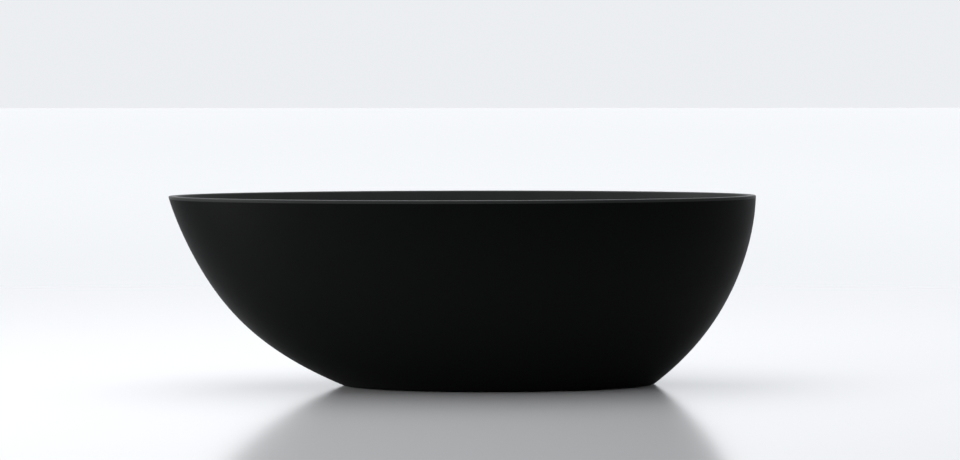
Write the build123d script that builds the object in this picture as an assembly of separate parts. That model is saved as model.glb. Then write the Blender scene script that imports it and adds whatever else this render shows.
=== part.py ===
# Freestanding oval bathtub: a black double-walled acrylic bath on a steel underframe with levelling feet,
# with its waste, overflow and push-to-close plug.
#
# Millimetres, +Z up. The origin is on the floor, under the middle of the rim. +X points to the foot end, where
# the waste is, -X to the sloping head end, and -Y to the front.
from build123d import *
import os
from math import atan, comb, cos, hypot, radians, sin, sqrt

os.makedirs("parts", exist_ok=True)

# ---- Driving dimensions -------------------------------------------------------------------------------------

# The outside of the bath
LENGTH = 1700.0
WIDTH = 800.0
HEIGHT = 550.0
FLOOR_GAP = 3.0            # the skirt stops this far above the floor, so that only the feet carry the bath
BASE_TO_HEAD = 352.0       # how far the base reaches from the origin towards the head end
BASE_TO_FOOT = 558.0
BASE_WIDTH = 430.0
RIM_WIDTH = 22.0
RIM_THICKNESS = 8.0
RIM_OUTER_ROUND = 3.0
RIM_INNER_ROUND = 4.5
BASE_LIP = 26.0            # the skirt turns in this far at the bottom
GLUE_LINE = 1.0            # the bond between the rim and the skirt

# Walls: a formed acrylic sheet, backed by sprayed glass-fibre laminate
SHEET = 4.0
LAMINATE = 3.0
FLOOR_LAMINATE = 6.0

# The inside of the bath
FLOOR_HEIGHT = 130.0       # the bath floor at the waste, above the room's floor
FLOOR_TO_HEAD = 235.0      # the flat floor's reach from the origin
FLOOR_TO_FOOT = 470.0
FLOOR_WIDTH = 300.0
FLOOR_FALL = 0.008         # mm of fall towards the foot for each mm of length

# How the walls curve: the control points of one Bezier curve from the bottom to the rim, as shares
OUTER_LEVELS = (0, 0.25, 0.5, 0.75, 1)
OUTER_HEAD = (0, 0.641, 0.743, 0.923, 1)
OUTER_FOOT = (0, 0.609, 0.816, 0.993, 1)
OUTER_SIDE = (0, 0.62, 0.78, 0.96, 1)
INNER_LEVELS = (0, 0, 0.238, 0.643, 1)
INNER_HEAD = (0, 0.33, 0.63, 0.88, 1)
INNER_FOOT = (0, 0.335, 0.60, 0.86, 1)
INNER_SIDE = (0, 0.44, 0.74, 0.92, 1)

# The base board and the underframe
BOARD = 16.0
BOARD_EDGE = 8.0           # the board stops this far inside the flat of the basin's underside
BOARD_WASTE_HOLE = 104.0
TUBE = 30.0                # square steel tube
TUBE_WALL = 2.0
TUBE_ROUND = 2.5
RAIL_SPACING = 230.0       # between the middles of the two rails
LEG_SPACING = 520.0        # between the legs along a rail
RAIL_OVERHANG = 30.0       # of a rail past a leg
CROSSBARS_FROM_LEG = {"head": 0.0, "middle": 187.0, "foot": 372.0}
END_PLUG = 12.0            # how deep a plug sits in the end of a rail
END_PLUG_HEAD = 3.0
BOARD_SCREW_SPACING = 170.0
BOARD_SCREW = 5.0
BOARD_SCREW_BITE = 13.0
SCREW_HEAD = 9.0
SCREW_HEAD_HEIGHT = 3.0

# The levelling legs: M12 studs, each with a swivel pad
STUD = 12.0
STUD_PITCH = 1.75
STUD_BALL = 10.0
STUD_NECK = 7.0
STUD_TOP_GAP = 0.5         # under the inside of the rail's upper wall
BALL_HEIGHT = 8.5          # of the ball's middle, above the floor
NUT_FLATS = 19.0
WELD_NUT = 10.0
JAM_NUT = 7.0
DRIVE_HEX = 8.0            # height of the stud's hexagon for the spanner
DRIVE_FLATS = 14.0
PAD = 44.0
PAD_HEIGHT = 14.0
PAD_EDGE = 6.0             # height of the pad's upright edge
PAD_NOSE = 19.0            # across the top of the pad
PAD_SOLE = 3.0
PAD_SOLE_RECESS = 1.0
PAD_SOLE_EDGE = 1.5
BALL_FIT = 0.1             # between a stud's ball and its pad
NECK_CLEARANCE = 0.7
DRIVE_CLEARANCE = 1.0      # between a pad and the hexagon above it

# The brackets that hold the skirt to the rails
BRACKET_WIDTH = 36.0
BRACKET_SHEET = 3.0
BRACKET_BEND = 3.0         # inside radius
BRACKET_SPACING = 300.0    # between the brackets along a rail
BRACKET_BELOW_BOARD = 4.0
BRACKET_TO_SKIRT = 1.0     # between a bracket's end and the inside of the skirt
BRACKET_SCREW = 4.8
LIP_SCREW_BITE = 4.5
RAIL_SCREW_BITE = 8.0

# The waste, on the floor of the bath
WASTE_FROM_FLOOR_END = 90.0
WASTE_FLANGE = 71.0
WASTE_FLANGE_THICKNESS = 3.0
WASTE_FLANGE_ROUND = 1.0
WASTE_FLANGE_CLEARANCE = 1.0   # round the flange, in its recess
WASTE_SEAL = 2.0
WASTE_TAIL = 47.8          # outside of the 1 1/2 inch thread
WASTE_WALL = 3.4
WASTE_BORE = WASTE_TAIL - 2 * WASTE_WALL
WASTE_CLEARANCE = 1.1      # round the tail, in the bath
WASTE_TAIL_LENGTH = 87.0
WINDOW_WIDTH = 14.0        # of the openings in the tail, where the overflow water comes in
WINDOW_HEIGHT = 16.0
WINDOWS = 4
LOWER_SEAL = 3.0
SPOKE = 4.0
SPOKE_HEIGHT = 10.0
SPOKES = 3
HUB = 18.0
HUB_BELOW_FLANGE = 28.0
THREAD_FIT = 0.1           # between plain cylinders that stand for screw threads

# The overflow tee on the waste
TEE = 68.0
TEE_HEIGHT = 55.0
TEE_WALL = 3.0
TEE_COLLAR = 10.0
TEE_BRANCH_ABOVE_BOTTOM = 22.0
TEE_BRANCH_LENGTH = 30.0
WASTE_NUT_FLATS = WASTE_TAIL + 12.2
WASTE_NUT = 10.0

# The outlet under the waste
OUTLET = 38.0
OUTLET_WALL = 1.5
OUTLET_FLANGE = 2.5
OUTLET_WASHER = 2.0
OUTLET_LENGTH = 24.0       # of the tailpiece below its nut
OUTLET_BEAD = 2.0          # height of the ring that a push-on pipe stops against
OUTLET_BEAD_STEP = 1.5
UNION_NUT_FLATS = WASTE_TAIL + 8.2
UNION_NUT_ON_THREAD = 9.0
UNION_NUT_LIP = 3.0

# The plug
PLUG = 61.0
PLUG_POCKET_CLEARANCE = 1.0
PLUG_CAP = 4.0
PLUG_CROWN = 2.5
PLUG_ROUND = 1.5
PLUG_GASKET = 3.0
PLUG_GASKET_EDGE = 0.5     # the gasket stops this far inside the cap's edge
PLUG_LEDGE = 1.5           # thickness of the ledge that the gasket shuts on
PLUG_LIFT = 9.0
PLUG_SHUT_GAP = 0.2
STEM = 6.0
STEM_COLLAR = 18.0
STEM_COLLAR_HEIGHT = 2.0
STEM_IN_CAP = 2.5
PISTON = 8.2
PISTON_HEIGHT = 6.0
CARTRIDGE = 12.0
CARTRIDGE_LENGTH = 34.0
CARTRIDGE_ABOVE_HUB = 17.0
CARTRIDGE_END = 2.0
CARTRIDGE_GUIDE = 4.0
CARTRIDGE_FLATS = 15.0
CARTRIDGE_HEX = 3.0
SLIDING_FIT = 0.1
SPRING = 10.0
SPRING_WIRE = 0.8
SPRING_TURNS = 7

# The overflow, on the wall at the foot end
OVERFLOW_BELOW_RIM = 120.0
OVERFLOW_SEAT_DEPTH = 0.5  # how far the seat is cut into the middle of the wall's inner face
OVERFLOW_SEAT = 68.0
OVERFLOW_HOLE = 44.0
OVERFLOW_BOSS = 10.0       # thickness of the wall there
OVERFLOW_GASKET = 2.0
OVERFLOW_FLANGE = 3.0
OVERFLOW_WALL = 2.5
OVERFLOW_BODY_DEPTH = 26.0
OVERFLOW_POST = 11.0
OVERFLOW_POST_GAP = 12.0   # between the ring's hub and the post, taken up as the screw tightens
OVERFLOW_RING = 64.0
OVERFLOW_RING_THICKNESS = 2.5
OVERFLOW_COLLAR_WALL = 2.5
OVERFLOW_COLLAR_LENGTH = 16.0
OVERFLOW_COLLAR_CLEARANCE = 0.2
OVERFLOW_HUB = 18.0
OVERFLOW_HUB_THICKNESS = 4.0
OVERFLOW_SPOKE = 5.0
OVERFLOW_COVER = 62.0
OVERFLOW_COVER_THICKNESS = 4.0
OVERFLOW_COVER_ROUND = 1.5
OVERFLOW_COVER_BOSS = 16.0
OVERFLOW_MOUTH = 6.0       # the gap behind the cover, where the water goes in
OVERFLOW_SCREW = 5.0
OVERFLOW_SCREW_HEAD = 9.0
OVERFLOW_SCREW_BITE = 15.0

# The overflow pipe, from the overflow down between the walls to the tee
PIPE = 25.0
PIPE_WALL = 2.0
PIPE_SOCKET_WALL = 2.5
PIPE_SOCKET_DEPTH = 18.0
PIPE_SOCKET_FIT = 0.05
PIPE_SOCKET_LENGTH = 26.0  # of the overflow's socket past its chamber
PIPE_SOCKET_BEHIND_GASKET = 1.5
PIPE_KNEE_HEIGHT = 205.0
PIPE_ELBOW_TO_SKIRT = 28.0
PIPE_BEND = 60.0

CUT = 5.0                  # how far a cutting solid runs past a face


# ---- Bowls ---------------------------------------------------------------------------------------------------

def bezier(values, share):
    n = len(values) - 1
    return sum(comb(n, i) * share**i * (1 - share)**(n - i) * v for i, v in enumerate(values))


def between(low, high, shares):
    return tuple(low + (high - low) * share for share in shares)


class Bowl:
    """An oval bowl whose level sections are ellipses. Its wall is a Bezier curve with the same levels all
    round, and its own reaches from the origin towards the head, the foot and the two sides."""

    def __init__(self, levels, head, foot, side, fall=0.0):
        self.levels, self.head, self.foot, self.side, self.fall = levels, head, foot, side, fall

    def slope(self, reaches, share):
        """How far a wall runs outwards for each millimetre that it rises."""
        n = len(reaches) - 1
        rise = bezier([b - a for a, b in zip(self.levels, self.levels[1:])], share) * n
        run = bezier([b - a for a, b in zip(reaches, reaches[1:])], share) * n
        return run / max(rise, 1e-6 * abs(run))

    def grown(self, thickness, floor_thickness=None):
        """The bowl that lies this thickness outside this one. A negative thickness gives an inner one."""
        n = len(self.levels) - 1
        levels, walls = [], {"head": [], "foot": [], "side": []}
        for i in range(n + 1):
            deep = floor_thickness if floor_thickness and i < 2 else thickness
            slopes = {name: self.slope(getattr(self, name), i / n) for name in walls}
            if self.levels[0] == self.levels[1] and i < 2:
                down = deep
            else:
                mean = sum(slopes.values()) / len(slopes)
                down = deep * mean / hypot(1, mean)
            levels.append(self.levels[i] - down)
            for name, s in slopes.items():
                flat = self.levels[0] == self.levels[1] and i < 2
                out = 0.0 if flat and i == 0 else thickness * hypot(1, s) - down * s
                if flat and i == 1:
                    out = thickness / 2
                walls[name].append(getattr(self, name)[i] + out)
        return Bowl(tuple(levels), tuple(walls["head"]), tuple(walls["foot"]), tuple(walls["side"]))

    def share_at(self, height):
        low, high = 0.0, 1.0
        for _ in range(50):
            middle = (low + high) / 2
            if bezier(self.levels, middle) < height:
                low = middle
            else:
                high = middle
        return (low + high) / 2

    def reach(self, name, height):
        return bezier(getattr(self, name), self.share_at(height))

    def lean(self, name, height):
        """A wall's angle from upright at a height, in radians."""
        return atan(self.slope(getattr(self, name), self.share_at(height)))

    def half_width_at(self, x, height):
        """Half the width of the level section where it crosses x."""
        head, foot, side = (self.reach(name, height) for name in ("head", "foot", "side"))
        share = (x - (foot - head) / 2) / ((foot + head) / 2)
        return side * sqrt(max(0.0, 1 - share**2))

    def solid(self):
        """The bowl as a solid block: four quarter patches, a floor and a top."""
        patches = []
        for along in (-1, 1):
            for across in (-1, 1):
                rows = []
                for i, level in enumerate(self.levels):
                    middle = (self.foot[i] - self.head[i]) / 2
                    reach = (self.foot[i] + self.head[i]) / 2
                    end, side = middle + along * reach, across * self.side[i]
                    row = [(end, 0), (end, side), (middle, side)]
                    tilt = self.fall if i < 2 else 0.0
                    rows.append([(x, y, level + tilt * (WASTE_X - x)) for x, y in row])
                weights = [[1, sqrt(0.5), 1]] * len(rows)
                patches.append(Face.make_bezier_surface(rows, weights))
        ends = []
        for place in (0, -1):
            edges = [patch.edges().sort_by(Axis.Z)[place] for patch in patches]
            ends.append(Face(Wire(edges)))
        made = Solid(Shell([*patches, *ends]))
        return made if made.volume > 0 else Solid(made.wrapped.Reversed())


WASTE_X = FLOOR_TO_FOOT - WASTE_FROM_FLOOR_END

outer = Bowl(
    between(FLOOR_GAP, HEIGHT, OUTER_LEVELS),
    between(BASE_TO_HEAD, LENGTH / 2, OUTER_HEAD),
    between(BASE_TO_FOOT, LENGTH / 2, OUTER_FOOT),
    between(BASE_WIDTH / 2, WIDTH / 2, OUTER_SIDE),
)
inner = Bowl(
    between(FLOOR_HEIGHT, HEIGHT, INNER_LEVELS),
    between(FLOOR_TO_HEAD, LENGTH / 2 - RIM_WIDTH, INNER_HEAD),
    between(FLOOR_TO_FOOT, LENGTH / 2 - RIM_WIDTH, INNER_FOOT),
    between(FLOOR_WIDTH / 2, WIDTH / 2 - RIM_WIDTH, INNER_SIDE),
    FLOOR_FALL,
)

# ---- Shared shapes -------------------------------------------------------------------------------------------

BASE = (Align.CENTER, Align.CENTER, Align.MIN)


def disc(radius, low, high, hole=0.0):
    """A round piece on the Z axis from low to high, with or without a hole through it."""
    made = Pos(0, 0, low) * Cylinder(radius, high - low, align=BASE)
    if hole:
        made -= Pos(0, 0, low) * Cylinder(hole, high - low, align=BASE)
    return made


def hexagon(flats, low, high, hole=0.0):
    """A nut on the Z axis from low to high, with its corners eased."""
    corners = flats / sqrt(3)
    blank = disc(corners, low, high)
    blank = chamfer(blank.edges().filter_by(GeomType.CIRCLE), 0.6 * (corners - flats / 2))
    blank &= Pos(0, 0, low) * extrude(RegularPolygon(corners, 6), high - low)
    if hole:
        blank -= disc(hole, low - CUT, high + CUT)
    return blank


def screw(diameter, length, head, head_height):
    """A screw that points down, with the underside of its head at the origin."""
    cap = disc(head / 2, 0, head_height)
    cap = fillet(cap.edges().sort_by(Axis.Z)[-1], head_height / 3)
    tip = diameter / 2
    shank = disc(diameter / 2, tip - length, 0)
    point = Pos(0, 0, -length) * Cone(tip / 3, diameter / 2, tip, align=BASE)
    return cap + shank + point


def slab(low, high):
    """Everything between two heights."""
    return Pos(0, 0, low) * Box(2 * LENGTH, 2 * LENGTH, high - low, align=BASE)


def toward_y(shape):
    """Turns a shape so that what pointed along Z points along Y."""
    return Rot(-90, 0, 0) * shape


# ---- The two walls ------------------------------------------------------------------------------------------

RIM_UNDERSIDE = HEIGHT - RIM_THICKNESS
SKIRT_TOP = RIM_UNDERSIDE - GLUE_LINE
UNDERSIDE = FLOOR_HEIGHT - SHEET - FLOOR_LAMINATE
BASE_MIDDLE = (BASE_TO_FOOT - BASE_TO_HEAD) / 2
BASE_REACH = (BASE_TO_FOOT + BASE_TO_HEAD) / 2

outer_back = outer.grown(-SHEET)
outer_inside = outer.grown(-SHEET - LAMINATE)
inner_back = inner.grown(SHEET)
inner_outside = inner.grown(SHEET + LAMINATE, SHEET + FLOOR_LAMINATE)
LIP_TOP = outer_inside.levels[0]

at_waste = Pos(WASTE_X, 0, 0)
FLANGE_UNDERSIDE = FLOOR_HEIGHT - WASTE_FLANGE_THICKNESS
RECESS_FLOOR = FLANGE_UNDERSIDE - WASTE_SEAL
RECESS = WASTE_FLANGE / 2 + WASTE_FLANGE_CLEARANCE
WASTE_HOLE = WASTE_TAIL / 2 + WASTE_CLEARANCE

# The overflow's own frame, on its seat: Z points into the bath, square to the wall, and Y down along the wall
OVERFLOW_HEIGHT = HEIGHT - OVERFLOW_BELOW_RIM
LEAN = inner.lean("foot", OVERFLOW_HEIGHT)
into_bath = Vector(-cos(LEAN), 0, sin(LEAN))
down_wall = Vector(-sin(LEAN), 0, -cos(LEAN))
on_wall = Vector(inner.reach("foot", OVERFLOW_HEIGHT), 0, OVERFLOW_HEIGHT)
overflow_origin = on_wall - into_bath * OVERFLOW_SEAT_DEPTH
at_overflow = Plane(origin=overflow_origin, x_dir=(0, 1, 0), z_dir=into_bath)


def base_opening(low, high):
    """The opening in the skirt's underside, which the legs and the pipework come through."""
    outline = Ellipse(BASE_REACH - BASE_LIP, BASE_WIDTH / 2 - BASE_LIP)
    return Pos(BASE_MIDDLE, 0, low) * extrude(outline, high - low)


def skirt():
    """The outer wall, up to the bond under the rim: the formed sheet, and the laminate behind it."""
    below = slab(0, SKIRT_TOP)
    opening = base_opening(0, LIP_TOP + CUT)
    holes = [spot * disc(BRACKET_SCREW / 2, -LIP_SCREW_BITE, CUT) for spot in lip_screw_spots()]
    sheet = (outer.solid() & below) - outer_back.solid() - opening - holes
    laminate = (outer_back.solid() & below) - outer_inside.solid() - opening - holes
    return sheet, laminate


def rim_bond():
    ring = outer.solid() & slab(SKIRT_TOP, RIM_UNDERSIDE)
    return ring - outer_inside.solid()


def rim_edges(sheet, outside):
    """The edges of the rim's flat top: the outer ones, or the ones round the bath."""
    top = sheet.edges().filter_by_position(Axis.Z, HEIGHT - 0.01, HEIGHT + 0.01)
    middle_reach, middle_side = (LENGTH - RIM_WIDTH) / 2, (WIDTH - RIM_WIDTH) / 2
    return [e for e in top if (hypot((e @ 0.5).X / middle_reach, (e @ 0.5).Y / middle_side) > 1) == outside]


def basin():
    """The inner wall, the bath floor and the rim in one formed sheet, and the laminate on its back."""
    block = inner.solid()
    hollow = block + extrude(block.faces().sort_by(Axis.Z)[-1], CUT, dir=(0, 0, 1))
    waste_dish = at_waste * disc(RECESS + SHEET, RECESS_FLOOR - SHEET, FLOOR_HEIGHT - SHEET / 2)
    overflow_dish = at_overflow * disc(OVERFLOW_SEAT / 2 + SHEET, -SHEET, SHEET)
    back = inner_back.solid() + waste_dish + overflow_dish

    waste_hole = at_waste * disc(WASTE_HOLE, UNDERSIDE - CUT, FLOOR_HEIGHT)
    waste_recess = at_waste * disc(RECESS, RECESS_FLOOR, FLOOR_HEIGHT + CUT)
    overflow_hole = at_overflow * disc(OVERFLOW_HOLE / 2, -OVERFLOW_BOSS - CUT, CUT)
    overflow_seat = at_overflow * disc(OVERFLOW_SEAT / 2, 0, 2 * CUT)

    rim = outer.solid() & slab(RIM_UNDERSIDE, HEIGHT)
    sheet = rim + back - hollow
    sheet = fillet(rim_edges(sheet, outside=True), RIM_OUTER_ROUND)
    sheet = fillet(rim_edges(sheet, outside=False), RIM_INNER_ROUND)
    sheet -= [waste_hole, waste_recess, overflow_hole, overflow_seat]

    boss = at_overflow * disc(OVERFLOW_SEAT / 2 + SHEET, -OVERFLOW_BOSS, -SHEET)
    laminate = ((inner_outside.solid() + boss) & slab(0, RIM_UNDERSIDE)) - back
    laminate -= [waste_hole, overflow_hole]
    return sheet, laminate


# ---- The base board and the underframe ----------------------------------------------------------------------

RAIL_TOP = UNDERSIDE - BOARD
RAIL_UNDERSIDE = RAIL_TOP - TUBE
RAIL_MIDDLE = RAIL_TOP - TUBE / 2
RAIL_Y = RAIL_SPACING / 2
RAIL_FACE = RAIL_Y + TUBE / 2
RAIL_LENGTH = LEG_SPACING + 2 * RAIL_OVERHANG
RAIL_START = BASE_MIDDLE - RAIL_LENGTH / 2
SIDES = {"front": -1, "back": 1}
LEGS = {
    f"{end}_{side}": Pos(BASE_MIDDLE + along * LEG_SPACING / 2, across * RAIL_Y, 0)
    for end, along in (("head", -1), ("foot", 1))
    for side, across in SIDES.items()
}
BOARD_SCREW_X = [BASE_MIDDLE + step * BOARD_SCREW_SPACING for step in (-1, 0, 1)]
BRACKET_X = [BASE_MIDDLE + step * BRACKET_SPACING / 2 for step in (-1, 1)]


def square_tube(length):
    """A length of square tube along X, with one end at the origin."""
    bore = TUBE - 2 * TUBE_WALL
    section = RectangleRounded(TUBE, TUBE, TUBE_ROUND) - RectangleRounded(bore, bore, TUBE_ROUND - TUBE_WALL)
    return extrude(Plane.YZ * section, length)


def board_screw_spots():
    return [Pos(x, side * RAIL_Y, RAIL_UNDERSIDE) for x in BOARD_SCREW_X for side in SIDES.values()]


def base_board():
    """The oval board bonded to the bath floor's underside, which spreads the load onto the rails."""
    reach = (FLOOR_TO_FOOT + FLOOR_TO_HEAD) / 2 - BOARD_EDGE
    middle = (FLOOR_TO_FOOT - FLOOR_TO_HEAD) / 2
    board = Pos(middle, 0, RAIL_TOP) * extrude(Ellipse(reach, FLOOR_WIDTH / 2 - BOARD_EDGE), BOARD)
    board -= at_waste * disc(BOARD_WASTE_HOLE / 2, RAIL_TOP - CUT, UNDERSIDE + CUT)
    return board - [spot * disc(BOARD_SCREW / 2, 0, TUBE + BOARD_SCREW_BITE) for spot in board_screw_spots()]


def rail(side):
    made = Pos(RAIL_START, side * RAIL_Y, RAIL_MIDDLE) * square_tube(RAIL_LENGTH)
    stud_hole = disc(STUD / 2 + THREAD_FIT, RAIL_UNDERSIDE - CUT, RAIL_MIDDLE)
    made -= [leg * stud_hole for leg in LEGS.values()]
    made -= [spot * disc(BOARD_SCREW / 2, -CUT, TUBE + CUT) for spot in board_screw_spots()]
    side_hole = toward_y(disc(BRACKET_SCREW / 2, -TUBE / 2, CUT))
    return made - [Pos(x, side * RAIL_FACE, RAIL_MIDDLE) * outward(side_hole, side) for x in BRACKET_X]


def outward(shape, side):
    """A shape made for the back rail, as it is on the given side."""
    return shape if side > 0 else mirror(shape, about=Plane.XZ)


def crossbar(from_leg):
    reach = RAIL_Y - TUBE / 2
    x = BASE_MIDDLE - LEG_SPACING / 2 + from_leg
    return Pos(x, -reach, RAIL_MIDDLE) * Rot(0, 0, 90) * square_tube(2 * reach)


def weld_nuts():
    nut = hexagon(NUT_FLATS, RAIL_UNDERSIDE - WELD_NUT, RAIL_UNDERSIDE, STUD / 2 + THREAD_FIT)
    return Compound([leg * nut for leg in LEGS.values()])


def rail_end_plugs():
    """Plastic plugs in the four open ends of the rails."""
    bore = TUBE - 2 * TUBE_WALL
    head = extrude(Plane.YZ * RectangleRounded(TUBE, TUBE, TUBE_ROUND), -END_PLUG_HEAD)
    body = extrude(Plane.YZ * RectangleRounded(bore, bore, TUBE_ROUND - TUBE_WALL), END_PLUG)
    hollow = bore - 2 * TUBE_WALL
    body -= extrude(Plane.YZ * Rectangle(hollow, hollow), END_PLUG)
    plug = head + body
    starts = [Pos(RAIL_START, side * RAIL_Y, RAIL_MIDDLE) for side in SIDES.values()]
    ends = [Pos(RAIL_START + RAIL_LENGTH, side * RAIL_Y, RAIL_MIDDLE) * Rot(0, 0, 180) for side in SIDES.values()]
    return Compound([spot * plug for spot in starts + ends])


def board_screws():
    """Screws up through the rails into the board."""
    made = Rot(180, 0, 0) * screw(BOARD_SCREW, TUBE + BOARD_SCREW_BITE, SCREW_HEAD, SCREW_HEAD_HEIGHT)
    return Compound([spot * made for spot in board_screw_spots()])


# ---- The brackets between the rails and the skirt -----------------------------------------------------------

BRACKET_TOP = RAIL_TOP - BRACKET_BELOW_BOARD


def bracket_end(x):
    """How far a bracket reaches: almost to the skirt, at whichever of its corners is nearer to it."""
    corners = [x - BRACKET_WIDTH / 2, x + BRACKET_WIDTH / 2]
    return min(outer_inside.half_width_at(corner, LIP_TOP) for corner in corners) - BRACKET_TO_SKIRT


def lip_screw_y(x):
    """The middle of the part of the bracket that lies on the skirt's lip."""
    share = (x - BASE_MIDDLE) / (BASE_REACH - BASE_LIP)
    lip_edge = (BASE_WIDTH / 2 - BASE_LIP) * sqrt(1 - share**2)
    return (lip_edge + bracket_end(x)) / 2


def lip_screw_spots():
    return [Pos(x, side * lip_screw_y(x), LIP_TOP) for x in BRACKET_X for side in SIDES.values()]


def skirt_bracket(x, side):
    end = bracket_end(x)
    outline = Polyline(
        (RAIL_FACE, BRACKET_TOP),
        (RAIL_FACE, LIP_TOP),
        (end, LIP_TOP),
        (end, LIP_TOP + BRACKET_SHEET),
        (RAIL_FACE + BRACKET_SHEET, LIP_TOP + BRACKET_SHEET),
        (RAIL_FACE + BRACKET_SHEET, BRACKET_TOP),
        close=True,
    )
    made = extrude(Plane.YZ.offset(x - BRACKET_WIDTH / 2) * make_face(outline), BRACKET_WIDTH)
    upright = made.edges().filter_by(Axis.X)
    outer_bend = upright.sort_by_distance((x, RAIL_FACE, LIP_TOP))[0]
    made = fillet(outer_bend, BRACKET_BEND + BRACKET_SHEET)
    inner_corner = (x, RAIL_FACE + BRACKET_SHEET, LIP_TOP + BRACKET_SHEET)
    made = fillet(made.edges().filter_by(Axis.X).sort_by_distance(inner_corner)[0], BRACKET_BEND)
    made -= Pos(x, lip_screw_y(x), LIP_TOP) * disc(BRACKET_SCREW / 2, -CUT, BRACKET_SHEET + CUT)
    made -= Pos(x, RAIL_FACE, RAIL_MIDDLE) * toward_y(disc(BRACKET_SCREW / 2, -CUT, BRACKET_SHEET + CUT))
    return outward(made, side)


def bracket_screws():
    """One screw through each bracket into the skirt's lip, and one into the side of the rail."""
    made = []
    for x in BRACKET_X:
        down = screw(BRACKET_SCREW, BRACKET_SHEET + LIP_SCREW_BITE, SCREW_HEAD, SCREW_HEAD_HEIGHT)
        down = Pos(x, lip_screw_y(x), LIP_TOP + BRACKET_SHEET) * down
        inward = toward_y(screw(BRACKET_SCREW, BRACKET_SHEET + RAIL_SCREW_BITE, SCREW_HEAD, SCREW_HEAD_HEIGHT))
        inward = Pos(x, RAIL_FACE + BRACKET_SHEET, RAIL_MIDDLE) * inward
        made += [outward(piece, side) for piece in (down, inward) for side in SIDES.values()]
    return Compound(made)


# ---- The levelling legs, each on its own axis at the origin ------------------------------------------------

STUD_TOP = RAIL_TOP - TUBE_WALL - STUD_TOP_GAP
DRIVE_BOTTOM = PAD_HEIGHT + DRIVE_CLEARANCE
JAM_NUT_TOP = RAIL_UNDERSIDE - WELD_NUT


def leg_sole():
    return disc(PAD / 2 - PAD_SOLE_EDGE, 0, PAD_SOLE)


def leg_pad():
    low = PAD_SOLE - PAD_SOLE_RECESS
    outline = Polyline(
        (0, low), (PAD / 2, low), (PAD / 2, PAD_EDGE), (PAD_NOSE / 2, PAD_HEIGHT), (0, PAD_HEIGHT), close=True
    )
    made = revolve(Plane.XZ * make_face(outline), Axis.Z)
    made -= disc(PAD / 2 - PAD_SOLE_EDGE, low - CUT, PAD_SOLE)
    made -= Pos(0, 0, BALL_HEIGHT) * Sphere(STUD_BALL / 2 + BALL_FIT)
    return made - disc(STUD_NECK / 2 + NECK_CLEARANCE, BALL_HEIGHT, PAD_HEIGHT + CUT)


def leg_stud():
    made = Pos(0, 0, BALL_HEIGHT) * Sphere(STUD_BALL / 2)
    made += disc(STUD_NECK / 2, BALL_HEIGHT, DRIVE_BOTTOM)
    made += hexagon(DRIVE_FLATS, DRIVE_BOTTOM, DRIVE_BOTTOM + DRIVE_HEX)
    shank = disc(STUD / 2, DRIVE_BOTTOM + DRIVE_HEX, STUD_TOP)
    return made + chamfer(shank.edges().sort_by(Axis.Z)[-1], STUD_PITCH / 2)


def leg_nut():
    """The lock nut, tight under the weld nut."""
    return hexagon(NUT_FLATS, JAM_NUT_TOP - JAM_NUT, JAM_NUT_TOP, STUD / 2)


# ---- The waste, on its own axis at the origin ---------------------------------------------------------------

TAIL_END = FLANGE_UNDERSIDE - WASTE_TAIL_LENGTH
LEDGE_TOP = FLANGE_UNDERSIDE + PLUG_LEDGE
HUB_TOP = FLANGE_UNDERSIDE - HUB_BELOW_FLANGE
THREADED_BORE = WASTE_TAIL / 2 + THREAD_FIT
TEE_TOP = UNDERSIDE - LOWER_SEAL
TEE_BOTTOM = TEE_TOP - TEE_HEIGHT
BRANCH_HEIGHT = TEE_BOTTOM + TEE_BRANCH_ABOVE_BOTTOM
BRANCH_END = TEE / 2 + TEE_BRANCH_LENGTH
PIPE_SOCKET_BORE = PIPE / 2 + PIPE_SOCKET_FIT
PIPE_SOCKET = PIPE_SOCKET_BORE + PIPE_SOCKET_WALL


def waste_body():
    """The flange in the bath floor, with a ledge for the plug and a threaded tail. Three spokes in the tail
    hold the hub that the plug's cartridge screws into, and windows let the overflow water in."""
    flange = disc(WASTE_FLANGE / 2, FLANGE_UNDERSIDE, FLOOR_HEIGHT)
    flange = fillet(flange.edges().sort_by(Axis.Z)[-1], WASTE_FLANGE_ROUND)
    flange -= disc(PLUG / 2 + PLUG_POCKET_CLEARANCE, LEDGE_TOP, FLOOR_HEIGHT + CUT)
    tube = flange + disc(WASTE_TAIL / 2, TAIL_END, FLANGE_UNDERSIDE)
    tube -= disc(WASTE_BORE / 2, TAIL_END - CUT, FLOOR_HEIGHT + CUT)
    for i in range(WINDOWS):
        window = Pos(WASTE_TAIL / 2, 0, BRANCH_HEIGHT) * Box(WASTE_TAIL / 2, WINDOW_WIDTH, WINDOW_HEIGHT)
        tube -= Rot(0, 0, (i + 0.5) * 360 / WINDOWS) * window
    spoke_reach = (WASTE_BORE + WASTE_TAIL) / 4
    low = HUB_TOP - SPOKE_HEIGHT
    spoke = Pos(0, 0, low) * Box(spoke_reach, SPOKE, SPOKE_HEIGHT, align=(Align.MIN, Align.CENTER, Align.MIN))
    hub = disc(HUB / 2, low, HUB_TOP)
    for i in range(SPOKES):
        hub += Rot(0, 0, i * 360 / SPOKES) * spoke
    return tube + hub - disc(CARTRIDGE / 2, low - CUT, HUB_TOP + CUT)


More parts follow.
